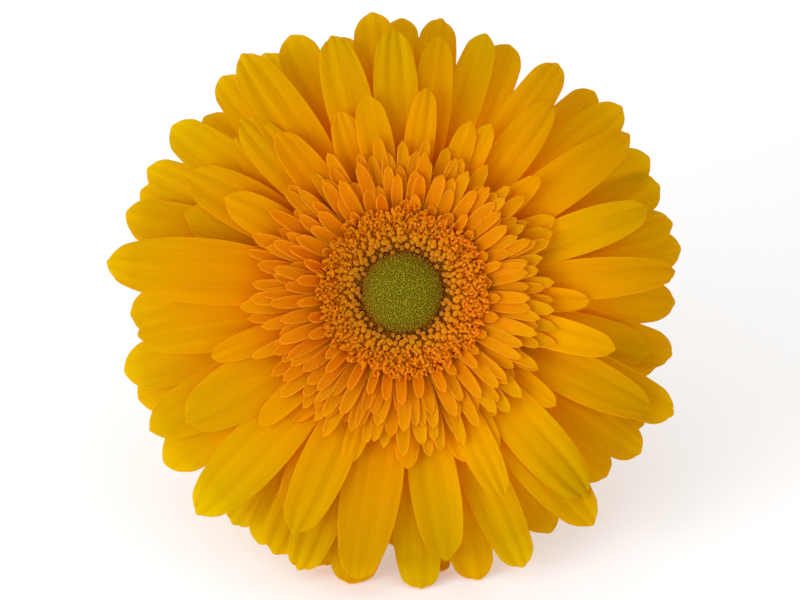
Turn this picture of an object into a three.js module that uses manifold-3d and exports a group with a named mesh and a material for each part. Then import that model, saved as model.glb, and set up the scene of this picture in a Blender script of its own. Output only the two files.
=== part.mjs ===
// Cut gerbera: one double yellow bloom on a leafless stem, laid down on a table.
// Millimetres, +Z up, the table is Z = 0. The bloom looks towards -Y and up, and the stem runs away along +Y.
// The head is drawn in its own frame: +z out of the flower's face, +y up the face, +x to the right.
import * as THREE from "three";
import { mergeVertices } from "three/addons/utils/BufferGeometryUtils.js";
import Module from "manifold-3d";

const wasm = await Module();
wasm.setup();

const { degToRad, lerp } = THREE.MathUtils;
const GOLDEN_ANGLE = Math.PI * (3 - Math.sqrt(5));

// ---- How the flower lies ----
const FACE_ELEVATION = degToRad(30); // of the head's axis above the table
const HEAD_CENTRE = new THREE.Vector3(1, -85.1, 51.6); // where the axis meets the top of the receptacle
const PRESS_EASE = 1.6; // how gradually a ray that would pass through the table turns up
const PRESS_FLOOR = 0.12; // height of a fully pressed ray's middle surface
const PRESS_SLIDE = 0.55; // share of that lift by which the ray's tip slides forward

// ---- The stack of the head, along its axis ----
const BLADE_HALF = 0.31; // half the thickness of a petal
const LAYER_GAP = 0.3; // running gap between two layers of the head
const CUP_TOP = -0.5;
const CUP_BOTTOM = -19;
const RAY_DECK = { bottom: CUP_TOP + LAYER_GAP, top: 3.6, radius: 16.6 };
const TRANS_DECK = { bottom: RAY_DECK.top + LAYER_GAP, top: 6.9, radius: 15.9 };
const DISC_DECK = { bottom: TRANS_DECK.top + LAYER_GAP, top: 8.2, radius: 15.2 };
const BUD_DOME = { bottom: DISC_DECK.top + LAYER_GAP, rim: 9.0, crown: 11.0, radius: 8.25 };
const DECK_SIDES = 24;

// ---- Ray florets: [bearing clockwise from the top in degrees, reach from the axis, width] ----
const RAY_ROOT_RADIUS = 14.6;
const RAY_WHORLS = [
  {
    // back whorl, drooping, seen mostly as tips between the others
    rootHeight: 0.3, rise: -3, droop: -24,
    rays: [
      [346.5, 52.8, 7], [359, 55.2, 8], [8, 55.8, 8.8], [23, 54.4, 9], [43, 56.2, 8], [61, 56.8, 9],
      [66.5, 56, 9.5], [81, 56.8, 9.5], [92, 55, 9.5], [102, 55.6, 9], [106.5, 53.2, 8], [119.5, 55.4, 8],
      [133, 55.4, 9.5], [149, 56.8, 9.5], [173.5, 59, 8], [181, 51, 8], [196.5, 59, 9], [209.5, 58.4, 9],
      [217, 57.8, 9], [247.5, 57.2, 10], [266.5, 55, 10.5], [284, 56.8, 8], [291.5, 56.6, 9.5],
      [311.5, 53.2, 9], [330, 55.8, 9], [336, 56.6, 9.5],
    ],
  },
  {
    // middle whorl
    rootHeight: 1.0, rise: 3, droop: -18,
    rays: [
      [17.5, 54.4, 7.4], [34, 55.2, 8.5], [49, 57.6, 9.5], [75.5, 55.6, 8.5], [104.5, 50.8, 9.5],
      [113.5, 59.4, 9.5], [123.5, 57.6, 10], [156.5, 60, 9], [165.5, 60.2, 10.2], [177, 60.4, 9.5],
      [190, 60.6, 11.5], [200, 59.2, 9.5], [205.5, 58.4, 10], [235, 58.6, 11], [254.5, 58, 11],
      [286.5, 57.4, 10], [296.5, 56.8, 9], [305.5, 56.8, 10], [320, 56.4, 9], [353, 56.2, 9.5],
    ],
  },
  {
    // front whorl, long rays that show whole
    rootHeight: 1.7, rise: 9, droop: -12,
    rays: [
      [9, 51.4, 7.8], [38.5, 48, 8], [56, 55, 9], [71.5, 51.4, 8.2], [77.5, 40.6, 5], [86, 54.2, 8],
      [115.5, 54.6, 9.2], [141, 59.6, 11], [170.5, 54, 9.5], [189, 57.6, 11.5], [209, 49.4, 8],
      [222.5, 60, 11.5], [241, 57.2, 11], [261, 53.2, 11], [290, 46.2, 9], [299.5, 49, 10],
      [312, 45.4, 8], [325.5, 57, 10.5], [344, 53, 9], [358.5, 52.4, 8.5],
    ],
  },
  {
    // the rays that lie over the front whorl
    rootHeight: 2.35, rise: 13.5, droop: -8,
    rays: [[137, 54.4, 10], [204.5, 52.2, 9.5], [239, 50, 11.5], [276.5, 58.6, 12.5], [317.5, 47, 8.5]],
  },
  {
    // short rays on top, half the length of the others
    rootHeight: 2.9, rise: 18, droop: -4,
    rays: [
      [6, 40.6, 5.8], [23, 36.4, 5], [27, 37.6, 5], [50, 35.4, 4.8], [62.5, 33.6, 4.4], [66.5, 32, 4.2],
      [93, 37, 5], [105, 43.4, 6.4], [127.5, 37.6, 5], [149.5, 37.4, 5.8], [153.5, 45, 6.8], [161, 35.6, 4.6],
      [178.5, 35, 5.4], [197, 35.6, 4.6], [219.5, 33.6, 5], [228, 38.6, 5], [252, 39.8, 5.4], [285, 32, 4.8],
      [298, 39.8, 7.4], [322.5, 40, 7], [340, 38, 6.4], [350.5, 39.8, 6.6],
    ],
  },
];
const NEIGHBOUR_STEP = 2.4; // degrees by which every second ray of a whorl stands higher

// ---- Trans florets: the rows of short petals round the disc, lowest row first ----
const TRANS_ROOT_RADIUS = 15;
const TRANS_ROWS = [
  { count: 23, reach: 31.4, width: 3.8, rootHeight: 4.3, rise: 22, droop: 2 },
  { count: 26, reach: 28.6, width: 3.7, rootHeight: 4.95, rise: 30, droop: 8 },
  { count: 26, reach: 25.4, width: 3.6, rootHeight: 5.6, rise: 38, droop: 14 },
  { count: 23, reach: 22.2, width: 3.5, rootHeight: 6.25, rise: 46, droop: 20 },
];
const TRANS_SCATTER = { bearing: 2.4, reach: 0.9 }; // largest random change, degrees and millimetres

// ---- Disc florets and the unopened buds ----
const DISC_SPACING = 0.98; // of the spiral, times the root of a floret's number
const DISC_RING = { inner: 9.3, outer: 14.9 };
const FLORET = { radius: 0.8, height: 2.6, point: 0.6, sink: 0.5, lean: 26 };
const BUD_RINGS = 9;
const BUD_SIDES = 28;
const BUD_RELIEF = 0.3;

// ---- Involucre: the green cup and its rows of bracts, lowest row first ----
const CUP_PROFILE = [
  [0, CUP_BOTTOM], [3.1, CUP_BOTTOM], [4.2, -16.6], [9.2, -12], [13, -7], [15.2, -2.2], [15.4, CUP_TOP],
  [0, CUP_TOP],
];
const BRACT_ROWS = [
  { count: 9, from: -15.4, to: -8.2, width: 4.4 },
  { count: 11, from: -12, to: -4.8, width: 4.8 },
  { count: 13, from: -8.8, to: -1.6, width: 5.2 },
];
const BRACT_STAND = { root: -0.7, tip: 1.7 }; // how far a bract stands off the cup

// ---- Stem ----
const STEM_NECK_RADIUS = 2.95;
const STEM_FOOT_RADIUS = 3.4;
const STEM_LENGTH = 192;
const STEM_FALL_LENGTH = 152; // the part that comes down to the table; the rest lies on it
const STEM_SWAY = 3; // sideways bow
const STEM_STEPS = 16;
const STEM_SIDES = 12;
const STEM_CUT_SLANT = 1.1; // length of the slanted cut, per millimetre across the stem

const COLOURS = {
  ray: "#e0a006", trans: "#dd8409", floret: "#bf6f0e", bud: "#6f6c12", bract: "#6d8440", stem: "#8fa35a",
};

// A repeatable random number from -1 to 1 for the nth draw.
function scatter(n) {
  const wave = Math.sin((n + 1) * 127.1) * 43758.5453;
  return 2 * (wave - Math.floor(wave)) - 1;
}

// ---- Solids ----
function solidFrom(vertices, triangles) {
  return new wasm.Manifold(
    new wasm.Mesh({
      numProp: 3,
      vertProperties: new Float32Array(vertices),
      triVerts: new Uint32Array(triangles),
    }),
  );
}

// A closed three.js geometry as a solid, moved by a matrix if one is given.
function solidOf(geometry, matrix = new THREE.Matrix4()) {
  const bare = geometry.clone();
  bare.deleteAttribute("normal");
  bare.deleteAttribute("uv");
  const merged = mergeVertices(bare.applyMatrix4(matrix), 1e-4);
  const corners = [];
  for (let i = 0; i < merged.index.count; i += 3) {
    const [a, b, c] = [0, 1, 2].map((k) => merged.index.getX(i + k));
    if (a !== b && b !== c && c !== a) corners.push(a, b, c);
  }
  return solidFrom(merged.attributes.position.array, corners);
}

function joined(solids) {
  return solids.reduce((whole, next) => whole.add(next));
}

function meshOf(name, solid, colour, roughness = 0.6) {
  const { vertProperties, triVerts, numProp } = solid.getMesh();
  const positions = new Float32Array((vertProperties.length / numProp) * 3);
  for (let i = 0; i < positions.length; i += 1) {
    positions[i] = vertProperties[Math.floor(i / 3) * numProp + (i % 3)];
  }
  const geometry = new THREE.BufferGeometry();
  geometry.setAttribute("position", new THREE.BufferAttribute(positions, 3));
  geometry.setIndex(new THREE.BufferAttribute(triVerts, 1));
  geometry.computeVertexNormals();
  const mesh = new THREE.Mesh(geometry, new THREE.MeshStandardMaterial({ color: colour, roughness, metalness: 0 }));
  mesh.name = name;
  return mesh;
}

// A round layer of the receptacle.
function deck({ bottom, top, radius }) {
  const disc = new THREE.CylinderGeometry(radius, radius, top - bottom, DECK_SIDES).rotateX(Math.PI / 2);
  return solidOf(disc.translate(0, 0, (top + bottom) / 2));
}

// A body of revolution about the head's axis, from a profile of [radius, height].
function turned(profile, sides) {
  const lathe = new THREE.LatheGeometry(profile.map(([r, z]) => new THREE.Vector2(r, z)), sides);
  return solidOf(lathe.rotateX(Math.PI / 2));
}

// ---- Blades: petals and bracts ----
// The middle line of a petal that leaves its root at one slope and ends at another, as [radius, height, slope].
function petalLine({ rootRadius, rootHeight, reach, rise, droop }) {
  const [from, to] = [degToRad(rise), degToRad(droop)];
  const run = (slope) => (Math.sin(slope) - Math.sin(from)) / (to - from);
  const climb = (slope) => (Math.cos(from) - Math.cos(slope)) / (to - from);
  const length = (reach - rootRadius) / run(to);
  return (t) => {
    const slope = lerp(from, to, t);
    return [rootRadius + length * run(slope), rootHeight + length * climb(slope), slope];
  };
}

// Half the width of a petal along its length: a narrow claw, the widest place, then an elliptic tip.
function petalHalfWidth(width, claw, widest = 0.64) {
  return (t) => {
    const swell = Math.sin((Math.PI / 2) * Math.min(t / widest, 1));
    const past = Math.max(0, (t - widest) / (1 - widest));
    return (width / 2) * lerp(claw, 1, swell) * Math.sqrt(Math.max(0, 1 - past * past));
  };
}

// A ray that would pass through the table turns forward along it instead.
function pressOnTable(point) {
  const [sine, cosine] = [Math.sin(FACE_ELEVATION), Math.cos(FACE_ELEVATION)];
  const height = HEAD_CENTRE.z + point.y * cosine + point.z * sine - PRESS_FLOOR;
  const lift = (Math.hypot(height, PRESS_EASE) - height) / 2;
  point.y += lift * (cosine - PRESS_SLIDE * sine);
  point.z += lift * (sine + PRESS_SLIDE * cosine);
  return point;
}

// A closed blade round a middle surface. line gives [radius, height, slope], and cup lifts the edges.
function blade({ bearing, line, halfWidth, cup = 0, half = BLADE_HALF, stations, across = [-1, 0, 1], settle }) {
  const angle = degToRad(bearing);
  const outward = new THREE.Vector3(Math.sin(angle), Math.cos(angle), 0);
  const sideways = new THREE.Vector3(Math.cos(angle), -Math.sin(angle), 0);
  const surface = (t, s) => {
    const [radius, height, slope] = line(t);
    const wide = halfWidth(t);
    const lifted = cup * s * s * wide;
    const point = outward.clone().multiplyScalar(radius - Math.sin(slope) * lifted);
    point.addScaledVector(sideways, s * wide);
    point.z += height + Math.cos(slope) * lifted;
    return settle ? settle(point) : point;
  };
  const near = 1e-3;
  const normal = (t, s) => {
    const along = surface(t + near, s).sub(surface(t - near, s));
    const aside = surface(t, s + near).sub(surface(t, s - near));
    return aside.cross(along).normalize();
  };
  const vertices = [];
  for (const t of stations) {
    const inside = Math.min(Math.max(t, near), 1 - 4 * near);
    for (const side of [1, -1]) {
      for (const s of across) {
        const point = surface(t, s).addScaledVector(normal(inside, s), side * half);
        vertices.push(point.x, point.y, point.z);
      }
    }
  }
  const lanes = across.length;
  const top = (k, i) => 2 * lanes * k + i;
  const under = (k, i) => top(k, i) + lanes;
  const triangles = [];
  const last = stations.length - 1;
  for (let k = 0; k < last; k += 1) {
    for (let i = 0; i + 1 < lanes; i += 1) {
      triangles.push(top(k, i), top(k, i + 1), top(k + 1, i + 1), top(k, i), top(k + 1, i + 1), top(k + 1, i));
      triangles.push(under(k, i), under(k + 1, i + 1), under(k, i + 1));
      triangles.push(under(k, i), under(k + 1, i), under(k + 1, i + 1));
    }
    const right = lanes - 1;
    triangles.push(under(k, right), under(k + 1, right), top(k + 1, right));
    triangles.push(under(k, right), top(k + 1, right), top(k, right));
    triangles.push(under(k, 0), top(k + 1, 0), under(k + 1, 0), under(k, 0), top(k, 0), top(k + 1, 0));
  }
  for (let i = 0; i + 1 < lanes; i += 1) {
    triangles.push(top(0, i), under(0, i), top(0, i + 1), top(0, i + 1), under(0, i), under(0, i + 1));
    triangles.push(top(last, i), top(last, i + 1), under(last, i + 1));
    triangles.push(top(last, i), under(last, i + 1), under(last, i));
  }
  return solidFrom(vertices, triangles);
}

// ---- The nodes of the head ----
function rayFlorets() {
  const blades = RAY_WHORLS.flatMap(({ rootHeight, rise, droop, rays }) =>
    rays.map(([bearing, reach, width], i) => {
      const step = (i % 2) * NEIGHBOUR_STEP;
      return blade({
        bearing,
        line: petalLine({
          rootRadius: RAY_ROOT_RADIUS, rootHeight, reach, rise: rise + step, droop: droop + step,
        }),
        halfWidth: petalHalfWidth(width, 0.22),
        cup: -0.1,
        stations: [0, 0.32, 0.64, 0.87, 0.99],
        settle: pressOnTable,
      });
    }),
  );
  return joined([deck(RAY_DECK), ...blades]);
}

function transFlorets() {
  let draw = 0;
  const blades = TRANS_ROWS.flatMap((row, level) =>
    Array.from({ length: row.count }, (_, i) => {
      const bearing = ((i + level * 0.5) * 360) / row.count + TRANS_SCATTER.bearing * scatter((draw += 1));
      const reach = row.reach + TRANS_SCATTER.reach * scatter((draw += 1));
      return blade({
        bearing,
        line: petalLine({ ...row, rootRadius: TRANS_ROOT_RADIUS, reach }),
        halfWidth: petalHalfWidth(row.width, 0.4, 0.6),
        across: [-1, 1],
        stations: [0, 0.5, 0.82, 0.98],
      });
    }),
  );
  return joined([deck(TRANS_DECK), ...blades]);
}

// One disc floret: a short square post with a point, leaning outwards more towards the rim.
function discFloret(number) {
  const radius = DISC_SPACING * Math.sqrt(number);
  const share = (radius - DISC_RING.inner) / (DISC_RING.outer - DISC_RING.inner);
  const post = new THREE.LatheGeometry(
    [
      new THREE.Vector2(0, -FLORET.sink),
      new THREE.Vector2(FLORET.radius * 0.8, -FLORET.sink),
      new THREE.Vector2(FLORET.radius, FLORET.height - FLORET.point),
      new THREE.Vector2(0, FLORET.height),
    ],
    4,
  ).rotateX(Math.PI / 2);
  const turn = number * GOLDEN_ANGLE;
  const place = new THREE.Matrix4()
    .makeRotationZ(turn)
    .multiply(new THREE.Matrix4().makeTranslation(radius, 0, DISC_DECK.top))
    .multiply(new THREE.Matrix4().makeRotationY(degToRad(FLORET.lean * share)));
  return solidOf(post, place);
}

function discFlorets() {
  const first = Math.ceil((DISC_RING.inner / DISC_SPACING) ** 2);
  const last = Math.floor((DISC_RING.outer / DISC_SPACING) ** 2);
  const florets = [];
  for (let number = first; number <= last; number += 1) florets.push(discFloret(number));
  return joined([deck(DISC_DECK), ...florets]);
}

// The domed middle, with every second knot raised as a bud.
function discBuds() {
  const { bottom, rim, crown, radius } = BUD_DOME;
  const dome = turned(
    [
      [0, bottom],
      [radius, bottom],
      ...Array.from({ length: BUD_RINGS + 1 }, (_, ring) => {
        const share = 1 - ring / (BUD_RINGS + 1);
        return [radius * share, lerp(crown, rim, share * share)];
      }),
      [0, crown],
    ],
    BUD_SIDES,
  );
  return dome.warp((vertex) => {
    const out = Math.hypot(vertex[0], vertex[1]);
    if (vertex[2] <= bottom + 0.01 || out > radius - 0.1 || out < 0.1) return;
    const ring = Math.round((out / radius) * (BUD_RINGS + 1));
    const side = Math.round((Math.atan2(vertex[1], vertex[0]) / (2 * Math.PI)) * BUD_SIDES);
    vertex[2] += Math.abs(ring + side) % 2 ? BUD_RELIEF : -BUD_RELIEF;
  });
}

// Radius of the cup at a height.
function cupRadius(height) {
  const wall = CUP_PROFILE.slice(1, -1);
  const above = Math.max(1, wall.findIndex(([, z]) => z >= height));
  const [[r0, z0], [r1, z1]] = [wall[above - 1], wall[above]];
  return lerp(r0, r1, (height - z0) / (z1 - z0));
}

function involucre() {
  const bracts = BRACT_ROWS.flatMap(({ count, from, to, width }, level) =>
    Array.from({ length: count }, (_, i) =>
      blade({
        bearing: ((i + level * 0.5) * 360) / count,
        line: (t) => {
          const height = lerp(from, to, t);
          const slope = Math.atan2(to - from, cupRadius(to) - cupRadius(from));
          return [cupRadius(height) + lerp(BRACT_STAND.root, BRACT_STAND.tip, t), height, slope];
        },
        halfWidth: petalHalfWidth(width, 0.5, 0.45),
        across: [-1, 1],
        stations: [0, 0.55, 0.97],
      }),
    ),
  );
  return joined([turned(CUP_PROFILE, DECK_SIDES), ...bracts]);
}

// ---- The stem, in the part's own frame ----
// Slope below the horizontal after a length of stem: steep at the neck, level where it lies on the table.
function stemSlope(length) {
  const share = Math.min(length / STEM_FALL_LENGTH, 1);
  return FACE_ELEVATION * Math.cos((Math.PI / 2) * share) ** 2;
}

function stem() {
  const start = -CUP_BOTTOM + LAYER_GAP;
  const centre = HEAD_CENTRE.clone();
  centre.y += start * Math.cos(FACE_ELEVATION);
  centre.z -= start * Math.sin(FACE_ELEVATION);
  const vertices = [];
  const triangles = [];
  const stride = STEM_LENGTH / STEM_STEPS;
  const ring = (k, i) => k * STEM_SIDES + (i % STEM_SIDES);
  for (let k = 0; k <= STEM_STEPS; k += 1) {
    const length = k * stride;
    const slope = stemSlope(length);
    const radius = lerp(STEM_NECK_RADIUS, STEM_FOOT_RADIUS, k / STEM_STEPS);
    const sway = STEM_SWAY * Math.sin((Math.PI * length) / STEM_LENGTH) ** 2;
    for (let i = 0; i < STEM_SIDES; i += 1) {
      const turn = ((i + 0.5) / STEM_SIDES) * 2 * Math.PI;
      const [aside, upward] = [radius * Math.cos(turn), radius * Math.sin(turn)];
      const cut = k === STEM_STEPS ? -STEM_CUT_SLANT * (upward + radius) : 0;
      vertices.push(
        centre.x + sway + aside,
        centre.y + upward * Math.sin(slope) + cut,
        centre.z + upward * Math.cos(slope),
      );
      if (k > 0) {
        triangles.push(ring(k - 1, i), ring(k, i), ring(k, i + 1));
        triangles.push(ring(k - 1, i), ring(k, i + 1), ring(k - 1, i + 1));
      }
    }
    const middle = stemSlope(length + stride / 2);
    centre.y += stride * Math.cos(middle);
    centre.z -= stride * Math.sin(middle);
  }
  for (let i = 1; i + 1 < STEM_SIDES; i += 1) {
    triangles.push(ring(0, 0), ring(0, i), ring(0, i + 1));
    triangles.push(ring(STEM_STEPS, 0), ring(STEM_STEPS, i + 1), ring(STEM_STEPS, i));
  }
  return solidFrom(vertices, triangles);
}

const head = new THREE.Group();
head.rotation.x = Math.PI / 2 - FACE_ELEVATION;
head.position.copy(HEAD_CENTRE);
head.add(
  meshOf("ray_florets", rayFlorets(), COLOURS.ray),
  meshOf("trans_florets", transFlorets(), COLOURS.trans),
  meshOf("disc_florets", discFlorets(), COLOURS.floret),
  meshOf("disc_buds", discBuds(), COLOURS.bud, 0.8),
  meshOf("involucre", involucre(), COLOURS.bract, 0.7),
);

const flower = new THREE.Group();
flower.add(head, meshOf("stem", stem(), COLOURS.stem, 0.65));

export default flower;
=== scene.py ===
"""Dresses a cut gerbera that lies on a table with its bloom turned up towards the camera."""

import math
import random

import bmesh
import bpy
from bpy.props import FloatProperty, FloatVectorProperty, IntProperty, PointerProperty
from mathutils import Matrix, Vector, noise


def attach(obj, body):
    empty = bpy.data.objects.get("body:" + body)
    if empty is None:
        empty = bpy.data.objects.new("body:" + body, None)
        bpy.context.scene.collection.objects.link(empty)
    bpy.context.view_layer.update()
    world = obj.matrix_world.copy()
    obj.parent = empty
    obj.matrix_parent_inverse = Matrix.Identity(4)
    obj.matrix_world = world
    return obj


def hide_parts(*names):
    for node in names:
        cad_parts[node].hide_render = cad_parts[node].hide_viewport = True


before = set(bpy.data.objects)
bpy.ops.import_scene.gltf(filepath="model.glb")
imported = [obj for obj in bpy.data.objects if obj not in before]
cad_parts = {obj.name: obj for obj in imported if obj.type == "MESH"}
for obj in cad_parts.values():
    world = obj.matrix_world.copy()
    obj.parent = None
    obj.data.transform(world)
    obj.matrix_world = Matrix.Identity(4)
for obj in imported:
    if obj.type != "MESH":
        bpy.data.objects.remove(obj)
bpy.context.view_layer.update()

bl_info = {
    "name": "Cut Gerbera",
    "version": (1, 0, 0),
    "blender": (4, 5, 0),
    "location": "3D View > Sidebar > Gerbera",
    "description": "Petals, florets, bracts and stem of a cut gerbera, on a plain stage",
    "category": "Add Mesh",
}

MM = 0.001
GOLDEN_ANGLE = math.pi * (3 - math.sqrt(5))
SHARP_CORNER = math.radians(32)
FLORET_CORNER = math.radians(80)
BODY = "root"

# ---- How the flower lies: millimetres and radians, the same as its solids ----
FACE_ELEVATION = math.radians(30)
HEAD_CENTRE = Vector((1, -85.1, 51.6))
HEAD = Matrix.Translation(HEAD_CENTRE * MM) @ Matrix.Rotation(math.pi / 2 - FACE_ELEVATION, 4, "X")
WORLD_MM = Matrix.Scale(MM, 4)
HEAD_MM = HEAD @ WORLD_MM
PRESS_EASE = 1.6  # how gradually a petal that would pass through the table turns up
PRESS_FLOOR = 0.2  # height of a fully pressed petal's middle surface
PRESS_SLIDE = 0.55  # share of that lift by which its tip slides forward

# ---- The layers of the head, along its axis ----
RAY_DECK = {"bottom": -0.2, "top": 3.5, "radius": 15.7}
TRANS_DECK = {"bottom": 3.9, "top": 6.8, "radius": 15.6}
DISC_DECK = {"bottom": 7.2, "top": 8.95, "radius": 15.0}
DECK_SIDES = 72
FLORET_ROOT_HEIGHT = 8.0
FLORET_LAYERS = ("floret_rise", "floret_tone", "floret_share")  # height in it, tone, place in the ring
FLORET_RING = {"inner": 8.3, "outer": 15.8}
FLORET_LEAN = 38  # degrees, at the rim of the ring
UNDERGROWTH_HEIGHT = (8.3, 8.95)  # at the inner and the outer rim
DOME = {"bottom": 7.6, "rim": 8.8, "crown": 10.9, "radius": 7.9}

# ---- Ray florets: (bearing clockwise from the top in degrees, reach from the axis, width) ----
BLOOM_RADIUS = 60
RAY_ROOT_RADIUS = 13.5
RAY_TRIM = 0.38  # a ray is this much shorter than listed, to stay inside the solids' box
RAY_WIDEN = 1.04  # and this many times as wide, so that neighbours overlap
RAY_FULL_WIDTH = 9  # narrower rays have shallower folds
RAY_GRID = (18, 34)  # columns and rows of a petal's grid
NEIGHBOUR_STEP = 2.4  # degrees by which every second ray stands higher
RAY_WHORLS = (
    {
        "name": "back", "root_height": 0.3, "rise": 0, "droop": -27,
        "narrowing": (0.5, 0.68), "tip": (1.1, 1.5), "pointed": 0.15, "teeth": 1,
        "rays": (
            (346.5, 52.8, 7), (359, 55.2, 8), (8, 55.8, 8.8), (23, 54.4, 9), (43, 56.2, 8),
            (61, 56.8, 9), (66.5, 56, 9.5), (81, 56.8, 9.5), (92, 55, 9.5), (102, 55.6, 9),
            (106.5, 53.2, 8), (119.5, 55.4, 8), (133, 55.4, 9.5), (149, 56.8, 9.5), (173.5, 59, 8),
            (181, 51, 8), (196.5, 59, 9), (209.5, 58.4, 9), (217, 57.8, 9), (247.5, 57.2, 10),
            (266.5, 55, 10.5), (284, 56.8, 8), (291.5, 56.6, 9.5), (311.5, 53.2, 9),
            (330, 55.8, 9), (336, 56.6, 9.5),
        ),
    },
    {
        "name": "middle", "root_height": 1.0, "rise": 7, "droop": -22,
        "narrowing": (0.56, 0.78), "tip": (1.25, 1.7), "pointed": 0.15, "teeth": 1,
        "rays": (
            (17.5, 54.4, 7.4), (34, 55.2, 8.5), (49, 57.6, 9.5), (75.5, 55.6, 8.5),
            (104.5, 50.8, 9.5), (113.5, 59.4, 9.5), (123.5, 57.6, 10), (156.5, 60, 9),
            (165.5, 60.2, 10.2), (177, 60.4, 9.5), (190, 60.6, 11.5), (200, 59.2, 9.5),
            (205.5, 58.4, 10), (235, 58.6, 11), (254.5, 58, 11), (286.5, 57.4, 10),
            (296.5, 56.8, 9), (305.5, 56.8, 10), (320, 56.4, 9), (353, 56.2, 9.5),
        ),
    },
    {
        "name": "front", "root_height": 1.7, "rise": 13, "droop": -16,
        "narrowing": (0.84, 0.95), "tip": (1.7, 2.4), "pointed": 0.35, "teeth": 1,
        "rays": (
            (9, 51.4, 7.8), (38.5, 48, 8), (56, 55, 9), (71.5, 51.4, 8.2), (77.5, 40.6, 5),
            (86, 54.2, 8), (115.5, 54.6, 9.2), (141, 59.6, 11), (170.5, 54, 9.5),
            (189, 57.6, 11.5), (209, 49.4, 8), (222.5, 60, 11.5), (241, 57.2, 11),
            (261, 53.2, 11), (290, 46.2, 9), (299.5, 49, 10), (312, 45.4, 8),
            (325.5, 57, 10.5), (344, 53, 9), (358.5, 52.4, 8.5),
        ),
    },
    {
        "name": "top", "root_height": 2.35, "rise": 17.5, "droop": -12,
        "narrowing": (0.84, 0.94), "tip": (1.7, 2.3), "pointed": 0.35, "teeth": 0,
        "rays": (
            (137, 54.4, 10), (204.5, 52.2, 9.5), (239, 50, 11.5), (276.5, 58.6, 12.5), (317.5, 47, 8.5),
        ),
    },
    {
        "name": "short", "root_height": 2.9, "rise": 21, "droop": -7,
        "narrowing": (0.75, 0.92), "tip": (1.5, 2.2), "pointed": 0.35, "teeth": 1,
        "rays": (
            (6, 40.6, 5.8), (23, 36.4, 5), (27, 37.6, 5), (50, 35.4, 4.8), (62.5, 33.6, 4.4),
            (66.5, 32, 4.2), (93, 37, 5), (105, 43.4, 6.4), (127.5, 37.6, 5), (149.5, 37.4, 5.8),
            (153.5, 45, 6.8), (161, 35.6, 4.6), (178.5, 35, 5.4), (197, 35.6, 4.6),
            (219.5, 33.6, 5), (228, 38.6, 5), (252, 39.8, 5.4), (285, 32, 4.8), (298, 39.8, 7.4),
            (322.5, 40, 7), (340, 38, 6.4), (350.5, 39.8, 6.6),
        ),
    },
)

# ---- Surface of a petal, across it as shares of its half width ----
TOOTH_PLACE, TOOTH_WIDTH = 0.34, 0.11
GROOVE_WIDTH = 0.19
FURROW_WIDTH, FURROW_DEPTH = 0.13, 0.4  # the furrow's depth is a share of the grooves'
RIPPLE = 0.22  # height of the slow waves in its surface, in millimetres
PAINTED_LIGHT_BEARING = math.radians(105)  # the side of the bloom with painted light and shade: inner parts lighter and yellower, ray ends darker

# ---- Trans florets: rows of short petals round the disc, lowest row first ----
TRANS_ROOT_RADIUS = 14.6
TRANS_SAG = 1.1  # the rows reach this much less at the top of the bloom and more at the bottom
TRANS_GRID = (8, 14)
TRANS_THIN = 0.75  # of a ray's thickness
TRANS_ROWS = (
    {"count": 42, "reach": 30.2, "spread": 1.8, "width": 3.0, "root_height": 4.8, "rise": 22, "droop": 0},
    {"count": 44, "reach": 28.3, "spread": 1.7, "width": 2.9, "root_height": 5.3, "rise": 25, "droop": 2},
    {"count": 46, "reach": 26.3, "spread": 1.7, "width": 2.75, "root_height": 5.8, "rise": 28, "droop": 5},
    {"count": 46, "reach": 24.2, "spread": 1.8, "width": 2.6, "root_height": 6.3, "rise": 31, "droop": 8},
    {"count": 34, "reach": 19.3, "spread": 1.6, "width": 2.0, "root_height": 6.8, "rise": 44, "droop": 16},
)

# ---- Involucre and stem ----
CUP_BOTTOM = -19
CUP_TOP = -0.5
CUP_VEIN_RADIUS = 15
CUP_PROFILE = ((3.1, -19), (4.2, -16.6), (9.2, -12), (13, -7), (15.2, -2.2), (15.4, -0.5))
BRACT_ROWS = (
    {"count": 13, "from": -17, "to": -8.2, "width": 3.2},
    {"count": 17, "from": -13.5, "to": -4.8, "width": 3.6},
    {"count": 21, "from": -10, "to": -1.7, "width": 3.8},
)
BRACT_STAND = {"root": -0.5, "tip": 1.6}
BRACT_GRID = (8, 14)
BRACT_WIDEST = 0.4
BRACT_THICK = 1.3  # of a ray's thickness
STEM_GAP = 0.3
STEM_SINK = 0.8  # the top of the stem sinks into the cup, so that no gap shows between them
STEM_LENGTH = 191.8
STEM_FALL_LENGTH = 152
STEM_VEIN_RADIUS = 3
STEM_NECK_RADIUS = 2.95
STEM_FOOT_RADIUS = 3.4
STEM_FLAT = math.cos(math.radians(15))
STEM_SWAY = 3
STEM_CUT_SLANT = 1.1
STEM_CUT_REACH = 16
STEM_SIDES, STEM_STEPS = 66, 128
STEM_RIBS, STEM_RIB_DEPTH = 11, 0.022
STEM_HOLLOW = ((0.95, 0), (0.75, 0), (0.69, 0.25), (0.66, 1.2), (0.6, 5), (0.5, 12))  # (share, depth)
FAR_FROM_EDGE = 9  # millimetres, for surfaces that have no margin

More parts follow.
